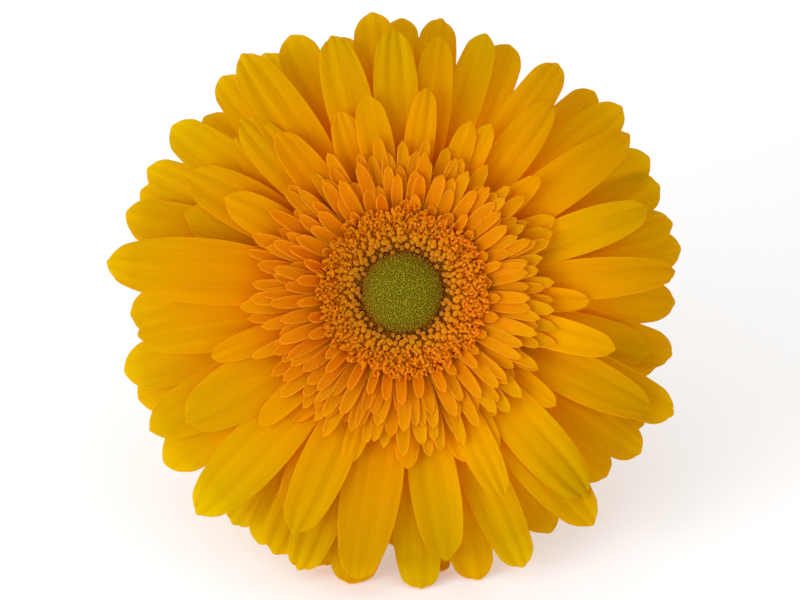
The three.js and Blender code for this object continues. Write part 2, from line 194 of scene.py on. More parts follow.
# ---- Colours that no setting changes, in linear light ----
RAY_GLOW = (1.0, 0.5, 0.0006)
BACK_GLOW = (1.0, 0.5, 0.001)
TRANS_GLOW = (1.0, 0.44, 0.0006)
FLORET_GLOW = (1.0, 0.42, 0.0006)
RAY_STOPS = (0.34, 0.56, 0.88, 1.0)
RAY_PAINTED_LIGHT = ((1.06, 1.56, 1), (1.19, 1.37, 1), (0.95, 0.86, 1), (0.88, 0.72, 1))  # factors of painted light and shade where painted as lit: root and middle lighter and yellower, end darker
PETAL_FOOT = (0.62, 0.56, 0.06)
TRANS_FOOT = (0.9, 0.26, 0.0006)
FLORET_BEIGE = (0.68, 0.27, 0.02)
BUD_EDGE = ((0.97, 1.0, 1), (0.97, 0.92, 0.9), (0.97, 0.7, 0.8), (1, 0.46, 0.7))  # factors
CUT_FLESH = (0.62, 0.68, 0.3)
THIN_GREEN = (0.42, 0.46, 0.16)
BURNT_TIP = (0.2, 0.1, 0.03)
WHITE = (1, 1, 1)

# ---- Stage ----
KEY_OFFSET = {"face": 0.53, "right": -0.59, "up": -0.1}
KEY_SIZE = 0.6
AIM = {"right": -0.5, "up": -1.45}  # the photograph's middle, in millimetres from the bloom's


def smooth(low, high, value):
    """0 below low, 1 above high, and an even ease between them."""
    share = min(max((value - low) / (high - low), 0.0), 1.0)
    return share * share * (3 - 2 * share)


def blend(a, b, share):
    return a + (b - a) * share


def hump(offset, width):
    """1 in the middle, falling away evenly on both sides."""
    return math.exp(-((offset / width) ** 2))


def painted_light_side(bearing):
    """1 on the side of the bloom that is painted as lit, 0 on the other: painted light and shade for the key
    light from the left.
    """
    return 0.5 + 0.5 * math.cos(bearing - PAINTED_LIGHT_BEARING)


def painted_light_tone(bearing, draw):
    """A tone from 0 to 1: drawn by chance, and raised by painted light on the side that is painted as lit."""
    return 0.4 * draw.random() + 0.6 * painted_light_side(bearing)


# ---------------------------------------------------------------- settings


def length_setting(name, description, default, low, high):
    return FloatProperty(
        name=name, description=description, default=default, min=low, max=high,
        precision=5, subtype="DISTANCE", unit="LENGTH",
    )


def colour_setting(name, description, default):
    return FloatVectorProperty(
        name=name, description=description, default=default, size=3, min=0, max=1, subtype="COLOR",
    )


class GerberaPetals(bpy.types.PropertyGroup):
    """Sizes of the petals, in metres."""

    thickness: length_setting("Petal thickness", "Thickness of a ray floret", 0.34 * MM, 0.1 * MM, 0.6 * MM)
    groove: length_setting(
        "Groove depth", "Depth of the two grooves that run along a ray floret", 0.55 * MM, 0, 1 * MM,
    )
    margin: length_setting("Margin curl", "How far the margin of a petal curls up", 0.16 * MM, 0, 1 * MM)
    seed: IntProperty(name="Seed", description="Seed of the small differences between petals", default=11)


class GerberaColours(bpy.types.PropertyGroup):
    """Colours of the flower, in linear light."""

    ray_tip: colour_setting("Ray tip", "Colour of the outer end of a ray floret", (0.655, 0.575, 0.0005))
    # Painted light: the longest rays lie mostly on the lower and left side, and their ends are painted paler
    # lemon for the light falling on them.
    ray_end_light: colour_setting("Ray end", "Colour of the longest rays at their very end", (0.84, 0.86, 0.0006))
    ray_middle: colour_setting("Ray middle", "Colour halfway along a ray floret", (0.86, 0.48, 0.0004))
    ray_root: colour_setting("Ray root", "Colour of a ray floret near the disc", (0.96, 0.28, 0.0006))
    trans: colour_setting("Trans floret", "Colour of the short inner petals", (0.97, 0.385, 0.004))
    # Painted highlight: the paler margin of a petal, for the light that its curled edge catches.
    rim: colour_setting("Petal rim", "Colour of the thin margin of a petal", (0.98, 0.6, 0.02))
    petal_back: colour_setting("Petal back", "Colour of the back of a petal", (0.82, 0.61, 0.06))
    floret: colour_setting("Disc floret", "Colour of the open disc florets", (0.9, 0.38, 0.007))
    # Painted shade: dark red low down between the outer florets.
    floret_hollow_shade: colour_setting(
        "Floret hollow", "Colour deep between the outer disc florets", (0.88, 0.26, 0.003),
    )
    # Painted shade: near-black low down between the innermost florets and in the deck's middle.
    floret_gap_shade: colour_setting(
        "Floret gap", "Colour between the innermost disc florets, against the green", (0.15, 0.035, 0.002),
    )
    stigma: colour_setting("Stigma", "Colour of the pale tips in the open florets", (0.86, 0.42, 0.035))
    bud: colour_setting("Unopened bud", "Colour of the green centre", (0.238, 0.194, 0.007))
    green: colour_setting("Green parts", "Colour of the bracts and the stem", (0.24, 0.34, 0.07))


class GerberaDown(bpy.types.PropertyGroup):
    """The short soft hairs on the green parts."""

    length: length_setting("Hair length", "Mean length of a hair", 0.75 * MM, 0.1 * MM, 2 * MM)
    per_bract: IntProperty(
        name="Hairs on a bract", description="Number of hairs on each bract", default=60, min=0,
    )
    on_stem: IntProperty(
        name="Hairs on the stem", description="Number of hairs along the stem", default=4200, min=0,
    )
    colour: colour_setting("Hair colour", "Colour of the hairs", (0.72, 0.76, 0.5))


class GerberaStage(bpy.types.PropertyGroup):
    """Camera and light."""

    camera_distance: length_setting("Camera distance", "From the camera to the bloom", 0.7, 0.3, 3)
    view_width: length_setting("View width", "Width of what the camera sees at the bloom", 0.158, 0.05, 1)
    key_power: FloatProperty(
        name="Key light", description="Power of the soft light from the left, in watts",
        default=4.0, min=0, max=100,
    )
    sky: FloatProperty(
        name="Surround", description="Brightness of the even light all round", default=0.88, min=0, max=3,
    )


# ---------------------------------------------------------------- making meshes


def mesh_of(bm, name):
    mesh = bpy.data.meshes.new(name)
    bm.to_mesh(mesh)
    bm.free()
    return mesh


def finished(name, bm, materials, node, thickness=None):
    """Makes an object of a bmesh that is in its place already, puts it under the body, and hides the solid it
    stands for.
    """
    mesh = mesh_of(bm, name)
    for polygon in mesh.polygons:
        polygon.use_smooth = True
    for material in materials:
        mesh.materials.append(material)
    piece = bpy.data.objects.new(name, mesh)
    bpy.context.scene.collection.objects.link(piece)
    if thickness:
        shell = piece.modifiers.new("Thickness", "SOLIDIFY")
        shell.thickness = thickness
        shell.offset = 0
        shell.use_even_offset = False
        shell.material_offset = len(materials) - 1
    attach(piece, BODY)
    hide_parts(node)


def petal_layers(bm):
    """Per-point values that the petal materials read.

    The place is in millimetres: across, along, and in from the margin. The tone holds a tone, the share
    of cut flesh, the share of the way out, and the share of painted light by the petal's side of the bloom.
    """
    return bm.verts.layers.float_vector.new("petal_place"), bm.verts.layers.float_color.new("petal_tone")


def ways(angle):
    """The directions out from the head's axis and aside, at a bearing clockwise from the top."""
    sine, cosine = math.sin(angle), math.cos(angle)
    return Vector((sine, cosine, 0)), Vector((cosine, -sine, 0))


def press_on_table(point):
    """A petal that would pass through the table turns forward along it instead."""
    sine, cosine = math.sin(FACE_ELEVATION), math.cos(FACE_ELEVATION)
    height = HEAD_CENTRE.z + point.y * cosine + point.z * sine - PRESS_FLOOR
    lift = (math.hypot(height, PRESS_EASE) - height) / 2
    point.y += lift * (cosine - PRESS_SLIDE * sine)
    point.z += lift * (sine + PRESS_SLIDE * cosine)


def spread(t, claw, widest, narrowing, power=2):
    """Share of its full width that a petal or bract has at a share of its length."""
    swell = math.sin(math.pi / 2 * min(t / widest, 1))
    past = max(0.0, (t - widest) / (1 - widest))
    return blend(claw, 1, swell) * math.sqrt(max(0.0, 1 - narrowing * past**power))


class Petal:
    """The curved surface of one petal, in millimetres in the head's frame.

    Whoever makes one also gives it a taper, groove, margin and pointed.
    """

    def __init__(self, bearing, reach, width, root_radius, root_height, rise, droop, draw):
        angle = math.radians(bearing)
        self.outward, self.sideways = ways(angle)
        self.root_radius, self.root_height = root_radius, root_height
        self.rise, self.droop = math.radians(rise), math.radians(droop)
        self.length = (reach - root_radius) / self.run(self.droop)
        self.half_width = width / 2
        self.claw, self.widest = 0.22, 0.56
        self.roll = math.radians(draw.uniform(-5, 5))
        self.side_bend = draw.uniform(-0.9, 0.9)
        self.wave = draw.uniform(-0.3, 0.3)
        self.phase = draw.uniform(0, math.tau)
        self.tip_cup = draw.uniform(-0.16, 0.08)
        self.groove_at = draw.uniform(0.3, 0.4)
        self.pleat = draw.choice((0.03, 0.09, 0.16, 0.25))
        self.root_cup = 0.5
        self.teeth, self.tooth_at = draw.choice((0, 0, 0, 0.006, 0.012)), draw.uniform(-0.12, 0.12)
        self.tone, self.lit_side = draw.random(), painted_light_side(angle)
        self.seed = draw.uniform(0, 100)

    def taper(self, narrowing, ratio):
        """How far the petal narrows towards its end, and how long the round of its tip is for its width."""
        self.tip_narrow = narrowing
        self.tip_round = ratio * self.half_width * math.sqrt(1 - narrowing) / self.length

    def run(self, slope):
        return (math.sin(slope) - math.sin(self.rise)) / (self.droop - self.rise)

    def climb(self, slope):
        return (math.cos(self.rise) - math.cos(slope)) / (self.droop - self.rise)

    def along(self, across, share):
        """A point's share of the petal's length, and its lane's: a lane beside the middle ends sooner."""
        rounded, gothic = 1 - math.sqrt(max(0.0, 1 - across * across)), abs(across) ** 1.5
        lane = 1 - self.tip_round * blend(rounded, gothic, self.pointed)
        for notch in (self.tooth_at - TOOTH_PLACE, self.tooth_at + TOOTH_PLACE):
            lane -= self.teeth * hump(across - notch, TOOTH_WIDTH)
        return share * lane, lane

    def relief(self, across, t, wide):
        """Height of the petal's surface over its flat middle surface."""
        side = abs(across)
        cup = blend(self.root_cup, 0, smooth(0.0, 0.45, t)) + self.tip_cup * smooth(0.3, 0.9, t)
        height = cup * across * across * wide
        fade = smooth(0.1, 0.32, t) * (1 - 0.3 * smooth(0.85, 1, t))
        height -= self.groove * fade * hump(side - self.groove_at, GROOVE_WIDTH)
        furrow = smooth(0.2, 0.4, t) * (1 - 0.8 * smooth(0.75, 1, t))
        height -= self.groove * FURROW_DEPTH * furrow * hump(across, FURROW_WIDTH)
        height += self.pleat * smooth(0.5, 0.9, t) * math.cos(3 * math.pi * across + self.phase)
        height += self.margin * smooth(0.8, 1, side)
        ripple = noise.noise(Vector((across * 1.1 + self.seed, t * 3.2, self.seed)))
        return height + RIPPLE * ripple * smooth(0.1, 0.4, t)

    def point(self, across, share):
        t, lane = self.along(across, share)
        slope = blend(self.rise, self.droop, t)
        wide = self.half_width * spread(t, self.claw, self.widest, self.tip_narrow)
        upright = Vector((0, 0, 1))
        normal = upright * math.cos(slope) - self.outward * math.sin(slope)
        roll = self.roll * smooth(0, 0.6, t)
        aside = self.sideways * math.cos(roll) + normal * math.sin(roll)
        facing = normal * math.cos(roll) - self.sideways * math.sin(roll)
        middle = self.outward * (self.root_radius + self.length * self.run(slope))
        middle += upright * (self.root_height + self.length * self.climb(slope))
        middle += normal * (self.wave * math.sin(self.phase + 5 * t)) * smooth(0, 0.4, t)
        middle += self.sideways * (self.side_bend * t * t)
        point = middle + aside * (across * wide) + facing * self.relief(across, t, wide)
        edge = min((1 - abs(across)) * wide, (lane - t) * self.length)
        return point, t, edge, across * wide

    def add_to(self, bm, layers, size, settle=None):
        """Adds the petal as a grid whose points are moved onto its surface."""
        place, tone = layers
        for vert in grid(bm, size):
            across = math.sin(math.pi / 2 * vert.co.x) if abs(vert.co.x) < 0.9999 else round(vert.co.x)
            share = math.sin(math.pi / 4 * (vert.co.y + 1))
            point, t, edge, aside = self.point(across, share)
            if settle:
                settle(point)
            vert.co = HEAD @ (point * MM)
            vert[place] = (aside + self.seed, t * self.length, edge)
            vert[tone] = (self.tone, 0, math.hypot(point.x, point.y) / BLOOM_RADIUS, self.lit_side)


def cone(bm, sides, radii, heights, aside=0, capped=True):
    """A cone or tube with a radius and a height for its foot and for its top."""
    low, high = heights
    made = bmesh.ops.create_cone(
        bm, segments=sides, radius1=radii[0], radius2=radii[1], depth=high - low, cap_ends=capped,
    )["verts"]
    bmesh.ops.translate(bm, verts=made, vec=(aside, 0, (low + high) / 2))
    return made


def grid(bm, size):
    """A flat grid from -1 to 1 both ways, with this many columns and rows."""
    return bmesh.ops.create_grid(bm, x_segments=size[0], y_segments=size[1], size=1)["verts"]


def turned(bm, profile, steps):
    """A closed round body from a profile of (radius, height) points."""
    points = [bm.verts.new((radius, 0, height)) for radius, height in profile]
    lines = [bm.edges.new(pair) for pair in zip(points, points[1:])]
    bmesh.ops.spin(
        bm, geom=points + lines, axis=(0, 0, 1), cent=(0, 0, 0), angle=math.tau, steps=steps, use_merge=True,
    )
    bmesh.ops.remove_doubles(bm, verts=bm.verts, dist=1e-4)
    bmesh.ops.recalc_face_normals(bm, faces=bm.faces)


def extended(bm, edges):
    """Extrudes edges, and gives the new edges and their points."""
    grown = bmesh.ops.extrude_edge_only(bm, edges=edges)["geom"]
    return [[g for g in grown if isinstance(g, kind)] for kind in (bmesh.types.BMEdge, bmesh.types.BMVert)]


def stamp(bm, shape, place, **values):
    """Adds a copy of a small mesh in its place, with the values that its points carry."""
    copy = shape.copy()
    copy.transform(place)
    for name, value in values.items():
        copy.attributes[name].data.foreach_set("value", [value] * len(copy.vertices))
    bm.from_mesh(copy)
    bpy.data.meshes.remove(copy)


def perch(turn, at, lean, tilt, spin, size):
    """A place on the head: turned round its axis, moved out, leant outwards and aside, spun and sized."""
    return (
        Matrix.Rotation(turn, 4, "Z") @ Matrix.Translation(at) @ Matrix.Rotation(lean, 4, "Y")
        @ Matrix.Rotation(tilt, 4, "X") @ Matrix.Rotation(spin, 4, "Z") @ Matrix.Diagonal((*size, 1))
    )


def deck(bm, layers, size):
    """A flat round layer of the receptacle, which the roots of the petals stand in."""
    for vert in cone(bm, DECK_SIDES, (size["radius"],) * 2, (size["bottom"], size["top"])):
        vert.co = HEAD @ (vert.co * MM)
        if layers:
            vert[layers[0]] = (0, 0, FAR_FROM_EDGE)
            vert[layers[1]] = (0.5, 0, 0, 1)


# ---------------------------------------------------------------- materials


def new_tree(name):
    material = bpy.data.materials.new(name)
    material.use_nodes = True
    tree = material.node_tree
    tree.nodes.clear()
    return material, tree


def node(tree, kind, values=None, **settings):
    """A shader node with its settings, and its inputs set or linked by name or number."""
    made = tree.nodes.new(kind)
    for key, value in settings.items():
        setattr(made, key, value)
    for key, value in (values or {}).items():
        if isinstance(value, bpy.types.NodeSocket):
            tree.links.new(value, made.inputs[key])
        else:
            made.inputs[key].default_value = value
    return made


def maths(tree, operation, a, b):
    return node(tree, "ShaderNodeMath", {0: a, 1: b}, operation=operation).outputs[0]


def fitted(tree, value, start, end, low=0.0, high=1.0):
    """A value that runs from start to end while another one runs from low to high."""
    return node(tree, "ShaderNodeMapRange", {0: value, 1: low, 2: high, 3: start, 4: end}).outputs[0]


def attribute(tree, name, part="Fac"):
    return node(tree, "ShaderNodeAttribute", attribute_name=name).outputs[part]


def ramp(tree, factor, places, colours):
    """A colour ramp; a colour has three parts."""
    made = node(tree, "ShaderNodeValToRGB", {"Fac": factor})
    elements = made.color_ramp.elements
    while len(elements) < len(places):
        elements.new(1)
    for element, place, colour in zip(elements, places, colours):
        element.position = place
        element.color = (*colour, 1)
    return made.outputs["Color"]


def mixed(tree, factor, a, b, mode="MIX"):
    """A mix of two colours, each of three parts or from a node."""
    a, b = (c if isinstance(c, bpy.types.NodeSocket) else (*c, 1) for c in (a, b))
    values = {"Factor": factor, 6: a, 7: b}
    return node(tree, "ShaderNodeMix", values, data_type="RGBA", blend_type=mode).outputs[2]


def tinted(tree, colour, red, green, blue=1.0):
    """A colour with each of its parts multiplied."""
    tint = node(tree, "ShaderNodeCombineColor", {0: red, 1: green, 2: blue}).outputs[0]
    return mixed(tree, 1.0, colour, tint, "MULTIPLY")


def shaded(colour, factor, lift=0.0):
    return tuple(min(1, part * factor + lift) for part in colour)


def petal_values(tree):
    """The petal's own coordinates and tone, split into single values."""
    place = attribute(tree, "petal_place", "Vector")
    tone = node(tree, "ShaderNodeAttribute", attribute_name="petal_tone").outputs
    at = node(tree, "ShaderNodeSeparateXYZ", {0: place}).outputs
    of = node(tree, "ShaderNodeSeparateColor", {0: tone["Color"]}).outputs
    return {
        "place": place, "edge": at[2],
        "tone": of[0], "flesh": of[1], "along": of[2], "lit_side": tone["Alpha"],
    }


def streak_group():
    """Fine lengthwise veins, as a mask from 0 to 1, from a place in millimetres across and along."""
    name = "lengthwise veins"
    if name in bpy.data.node_groups:
        return bpy.data.node_groups[name]
    group = bpy.data.node_groups.new(name, "ShaderNodeTree")
    group.interface.new_socket("Place", in_out="INPUT", socket_type="NodeSocketVector")
    group.interface.new_socket("Per millimetre", in_out="INPUT", socket_type="NodeSocketFloat")
    group.interface.new_socket("Mask", in_out="OUTPUT", socket_type="NodeSocketFloat")
    entry = group.nodes.new("NodeGroupInput").outputs
    leave = group.nodes.new("NodeGroupOutput")
    drawn = node(group, "ShaderNodeMapping", {"Vector": entry["Place"], "Scale": (1, 0.035, 0)})
    veins = node(
        group, "ShaderNodeTexNoise",
        {"Vector": drawn.outputs[0], "Scale": entry["Per millimetre"], "Detail": 3.0, "Roughness": 0.6},
    )
    group.links.new(fitted(group, veins.outputs[0], 0.0, 1.0, 0.3, 0.7), leave.inputs["Mask"])
    return group


def streaks(tree, place, per_millimetre):
    values = {"Place": place, "Per millimetre": per_millimetre}
    return node(tree, "ShaderNodeGroup", values, node_tree=streak_group()).outputs["Mask"]


def petal_shader(
    tree, face, height, bump, glow=None, glow_share=0.6,
    roughness=0.62, translucent=0.6, gleam=(1, 0.7, 0.05), gloss=0.12,
):
    """The living surface of a petal: satin in front, with some light passing through."""
    through = mixed(tree, glow_share, face, glow) if glow else face
    relief = node(tree, "ShaderNodeBump", {"Height": height, "Strength": 1.0, "Distance": bump * MM})
    skin = node(
        tree, "ShaderNodeBsdfPrincipled",
        {
            "Base Color": face, "Roughness": roughness, "Specular IOR Level": gloss,
            "Specular Tint": (*gleam, 1), "Normal": relief.outputs[0],
        },
    )
    lit = node(tree, "ShaderNodeBsdfTranslucent", {"Color": through, "Normal": relief.outputs[0]})
    both = node(tree, "ShaderNodeMixShader", {0: translucent, 1: skin.outputs[0], 2: lit.outputs[0]})
    node(tree, "ShaderNodeOutputMaterial", {"Surface": both.outputs[0]})


def ray_material(colours):
    """The face of a ray: orange at its root, lemon at its end; painted light and shade by side, on long ends
    and folds.
    """
    material, tree = new_tree("ray petal")
    values = petal_values(tree)
    shades = (colours.ray_root, colours.ray_middle, colours.ray_tip, colours.ray_end_light)
    base = ramp(tree, values["along"], RAY_STOPS, shades)
    # Painted light and shade by side: where painted as lit, the root and middle are lighter and yellower, the
    # end darker.
    painted_light_factors = ramp(tree, values["along"], RAY_STOPS, RAY_PAINTED_LIGHT)
    base = mixed(tree, values["lit_side"], base, mixed(tree, 1.0, base, painted_light_factors, "MULTIPLY"))
    veins = streaks(tree, values["place"], 1.1)
    shade = fitted(tree, veins, 0.94, 1.03)
    # Slow lengthwise bands, lighter and darker: partly tone that differs, partly painted light and shade of
    # soft folds.
    fold_shade = fitted(tree, streaks(tree, values["place"], 0.35), 0.89, 1.06)
    mood = fitted(tree, values["tone"], 0.9, 1.07)
    green = maths(tree, "MULTIPLY", maths(tree, "MULTIPLY", shade, mood), fold_shade)
    # Painted highlight along the margin.
    rim = fitted(tree, values["edge"], 0.22, 0.0, high=0.3)
    face = mixed(tree, rim, tinted(tree, base, fold_shade, green), colours.rim)
    petal_shader(tree, face, veins, 0.08, RAY_GLOW)
    return material


def petal_back_material(colours):
    material, tree = new_tree("petal back")
    values = petal_values(tree)
    veins = streaks(tree, values["place"], 0.8)
    face = mixed(tree, maths(tree, "MULTIPLY", veins, 0.7), colours.petal_back, colours.ray_middle)
    face = mixed(tree, fitted(tree, values["along"], 0.55, 0.0, 0.24, 0.5), face, PETAL_FOOT)
    petal_shader(tree, face, veins, 0.14, BACK_GLOW, roughness=0.75)
    return material


def trans_material(colours):
    """The face of a short petal: deep orange, with a painted highlight along its curled rim."""
    material, tree = new_tree("trans petal")
    values = petal_values(tree)
    shades = (TRANS_FOOT, colours.trans, colours.ray_middle)
    base = ramp(tree, values["along"], (0.26, 0.37, 0.5), shades)
    # The tone, partly painted light by side, makes a petal lighter and yellower.
    light, mood = (fitted(tree, values["tone"], *ends) for ends in ((0.91, 1.06), (0.7, 1.36)))
    # Painted highlight along the margin, stronger than on the rays.
    rim = fitted(tree, values["edge"], 0.66, 0.0, high=0.28)
    face = mixed(tree, rim, tinted(tree, base, light, mood), colours.rim)
    petal_shader(tree, face, streaks(tree, values["place"], 1.8), 0.07, TRANS_GLOW)
    return material


def floret_material(colours):
    """Disc florets: painted shade, dark and red, low down in their hollows; orange-yellow above, with pale
    tips.
    """
    material, tree = new_tree("disc floret")
    rise, tone, out = (attribute(tree, name) for name in FLORET_LAYERS)
    gap_shade = ramp(tree, out, (0.12, 0.4), (colours.floret_gap_shade, colours.floret_hollow_shade))
    shades = (FLORET_BEIGE, colours.floret, colours.floret, colours.trans)
    top = ramp(tree, out, (0.0, 0.28, 0.5, 0.75), shades)
    # Painted shade: the lower part of each floret, and the deck and small buds, take the dark shade colours.
    lift = fitted(tree, rise, 0.0, 1.0, 0.12, 0.6)
    some, high = maths(tree, "GREATER_THAN", tone, 0.6), maths(tree, "GREATER_THAN", rise, 0.85)
    base = mixed(tree, maths(tree, "MULTIPLY", some, high), mixed(tree, lift, gap_shade, top), colours.stigma)
    place = node(tree, "ShaderNodeTexCoord").outputs["Object"]
    grain = node(tree, "ShaderNodeTexNoise", {"Vector": place, "Scale": 2200.0, "Detail": 2.0}).outputs[0]
    speck = fitted(tree, grain, 0.88, 1.08, 0.3, 0.7)
    # The tone, partly painted light by side, makes a floret lighter and yellower.
    light, mood = (fitted(tree, tone, *ends) for ends in ((0.84, 1.12), (0.82, 1.14)))
    red, green = (maths(tree, "MULTIPLY", part, speck) for part in (light, mood))
    face = tinted(tree, base, red, green, mood)
    petal_shader(
        tree, face, grain, 0.04, FLORET_GLOW, maths(tree, "MULTIPLY", lift, 0.3),
        roughness=0.45, translucent=0.5, gleam=(1, 0.8, 0.4), gloss=0.15,
    )
    return material


def bud_material(colours):
    """Unopened buds: green, with painted shade at each bud's foot and a painted highlight at its tip, and
    browner where they meet the florets.
    """
    material, tree = new_tree("unopened bud")
    rise, tone, out = (attribute(tree, name) for name in FLORET_LAYERS)
    # Painted shade at the foot of each bud and on the dome between them, painted highlight at its tip.
    shades = (shaded(colours.bud, 0.75), colours.bud, shaded(colours.bud, 1.15, 0.002))
    base = ramp(tree, rise, (0.0, 0.55, 1.0), shades)
    base = mixed(tree, 1.0, base, ramp(tree, out, (0.3, 0.72, 0.9, 1.0), BUD_EDGE), "MULTIPLY")
    mood = fitted(tree, tone, 0.8, 1.2)
    petal_shader(tree, tinted(tree, base, mood, mood, mood), tone, 0.0, roughness=0.6, translucent=0.05)
    return material


def green_material(name, colours, shade, per_millimetre, tip=None):
    """Bracts and stem: matte green with fine lengthwise ribs, pale where it is cut or thin."""
    material, tree = new_tree(name)
    values = petal_values(tree)
    veins = streaks(tree, values["place"], per_millimetre)
    face = mixed(tree, veins, *(shaded(colours.green, part * shade) for part in (0.66, 1.25)))
    mood = fitted(tree, values["tone"], 0.86, 1.14)
    face = mixed(tree, values["flesh"], tinted(tree, face, mood, mood, mood), CUT_FLESH)
    if tip:
        face = mixed(tree, fitted(tree, values["edge"], 0.6, 0.0, high=0.45), face, THIN_GREEN)
        face = mixed(tree, fitted(tree, values["along"], 0.0, 0.7, 0.8), face, tip)
    petal_shader(
        tree, face, veins, 0.1, roughness=0.66, translucent=0.08, gleam=(1, 1, 0.9), gloss=0.3,
    )
    return material


def down_material(down):
    material, tree = new_tree("down")
    petal_shader(
        tree, (*down.colour, 1), 0.0, 0.0, roughness=0.5, translucent=0.3, gleam=WHITE, gloss=0.4,
    )
    return material


# ---------------------------------------------------------------- operators


def use(context):
    scene = context.scene
    return scene.gerbera_petals, scene.gerbera_colours, scene.gerbera_down


class GERBERA_OT_ray_florets(bpy.types.Operator):
    """Makes the long outer petals, one piece for each whorl"""

    bl_idname = "gerbera.ray_florets"
    bl_label = "Ray florets"

    def execute(self, context):
        petals, colours, _ = use(context)
        face, back = ray_material(colours), petal_back_material(colours)
        draw = random.Random(petals.seed)
        for whorl in RAY_WHORLS:
            bm = bmesh.new()
            layers = petal_layers(bm)
            if whorl is RAY_WHORLS[0]:
                deck(bm, layers, RAY_DECK)
            for i, (bearing, reach, width) in enumerate(whorl["rays"]):
                step = i % 2 * NEIGHBOUR_STEP
                petal = Petal(
                    bearing, reach - RAY_TRIM, width * RAY_WIDEN, RAY_ROOT_RADIUS, whorl["root_height"],
                    whorl["rise"] + step, whorl["droop"] + step, draw,
                )
                petal.taper(draw.uniform(*whorl["narrowing"]), draw.uniform(*whorl["tip"]))
                depth = min(width / RAY_FULL_WIDTH, 1)
                petal.widest += 0.1 * petal.tone
                petal.pleat *= 0.85 * depth
                petal.teeth *= whorl["teeth"] * (0.35 - 0.25 * math.cos(math.radians(bearing)))
                petal.pointed = whorl["pointed"] * petal.tone
                petal.groove = petals.groove / MM * depth
                petal.margin = petals.margin / MM
                petal.add_to(bm, layers, RAY_GRID, press_on_table)
            finished(f"rays_{whorl['name']}", bm, (face, back), "ray_florets", petals.thickness)
        return {"FINISHED"}


class GERBERA_OT_trans_florets(bpy.types.Operator):
    """Makes the rows of short petals round the disc"""

    bl_idname = "gerbera.trans_florets"
    bl_label = "Trans florets"

    def execute(self, context):
        petals, colours, _ = use(context)
        draw = random.Random(petals.seed + 1)
        bm = bmesh.new()
        layers = petal_layers(bm)
        deck(bm, layers, TRANS_DECK)
        for level, row in enumerate(TRANS_ROWS):
            for i in range(row["count"]):
                tilt = draw.uniform(-3, 3)
                bearing = (i + level * 0.5) * 360 / row["count"] + draw.uniform(-3, 3)
                sag = TRANS_SAG * math.cos(math.radians(bearing))
                petal = Petal(
                    bearing, row["reach"] + draw.uniform(-1, 1) * row["spread"] - sag,
                    row["width"] * draw.uniform(0.85, 1.12), TRANS_ROOT_RADIUS, row["root_height"],
                    row["rise"] + tilt, row["droop"] + tilt, draw,
                )
                # Partly painted light: the tone, which makes a petal lighter and yellower, is raised on the
                # side painted as lit.
                petal.tone = painted_light_tone(math.radians(bearing), draw)
                petal.claw, petal.widest, petal.pointed = 0.75, 0.58, 0.6
                petal.groove, petal.wave, petal.side_bend = 0.06, 0, draw.uniform(-0.6, 0.6)
                petal.root_cup, petal.tip_cup = 0.2, draw.uniform(0, 0.25)
                petal.margin = 0.12
                petal.taper(draw.uniform(0.86, 0.96), draw.uniform(2.1, 3.2))
                petal.roll *= 1.8
                petal.teeth = petal.pleat = 0
                petal.add_to(bm, layers, TRANS_GRID)
        finished(
            "trans_petals", bm, (trans_material(colours), petal_back_material(colours)),
            "trans_florets", petals.thickness * TRANS_THIN,
        )
        return {"FINISHED"}


def floret_layers(bm):
    return [bm.verts.layers.float.new(name) for name in FLORET_LAYERS]


def template(build, pale_above=9.0, highest=0.8):
    """A small mesh to be copied many times, in millimetres, with how high each point stands.

    The height runs from 0 to highest, and points above pale_above have 1, which colours them as pale tips.
    """
    bm = bmesh.new()
    rise = floret_layers(bm)[0]
    build(bm)
    bmesh.ops.recalc_face_normals(bm, faces=bm.faces)
    for edge in bm.edges:
        edge.smooth = edge.calc_face_angle(0) < FLORET_CORNER
    low, high = min(v.co.z for v in bm.verts), max(v.co.z for v in bm.verts)
    for vert in bm.verts:
        vert[rise] = 1 if vert.co.z > pale_above else highest * (vert.co.z - low) / (high - low)
    return mesh_of(bm, "floret shape")


def closed_floret(bm):
    """A blocky closed floret with five corners and a hollow in its tip."""
    cone(bm, 5, (0.48, 0.68), (0, 1.3))
    for thickness, depth in ((0.12, 0.12), (0.2, 0.2), (0.14, 0.06), (0.06, -0.14)):
        top = [f for f in bm.faces if f.normal.z > 0.99 and f.calc_center_median().z > 1.2]
        bmesh.ops.inset_region(bm, faces=top, thickness=thickness, depth=depth)


def opening_floret(bm):
    """A floret about to open: a flattened finger, longest outwards, with its tip parted into lips."""
    made = bmesh.ops.create_uvsphere(bm, u_segments=8, v_segments=6, radius=0.6)
    for vert in made["verts"]:
        vert.co.z = vert.co.z * 1.6 + 0.98
        vert.co.y *= 0.8
        vert.co.x *= 1.2 + 0.35 * smooth(0.9, 1.8, vert.co.z)
        vert.co.z -= 0.4 * smooth(0.3, 0, abs(vert.co.x)) * smooth(1.2, 1.9, vert.co.z)


def open_floret(bm):
    """An open floret: a tube, a broad outer lip of three lobes, a short inner lip and the anther column."""
    cone(bm, 12, (0.26, 0.4), (0, 1.2), capped=False)
    mouth = [e for e in bm.edges if min(v.co.z for v in e.verts) > 1.1]
    for radius, height in ((0.6, 1.5), (0.9, 1.6), (1.02, 1.3)):
        mouth, points = extended(bm, mouth)
        for vert in points:
            turn = math.atan2(vert.co.y, vert.co.x)
            lip = 0.5 + 0.5 * math.cos(turn)
            notch = 0.13 * math.cos(6 * turn)
            wide = blend(0.42, radius, lip) * (1 + notch)
            vert.co = Vector((wide * math.cos(turn), wide * math.sin(turn), blend(1.35, height, lip)))
    cone(bm, 5, (0.3, 0.22), (0.5, 2.1), aside=-0.16)


def bud_shape(bm):
    """One unopened bud: a small five-sided knob."""
    cone(bm, 5, (0.26, 0.19), (-0.22, 0.18))
    top = [f for f in bm.faces if f.normal.z > 0.9]
    bmesh.ops.inset_region(bm, faces=top, thickness=0.1, depth=0.08)


def dome_height(radius):
    share = radius / DOME["radius"]
    return blend(DOME["crown"], DOME["rim"], share * share)


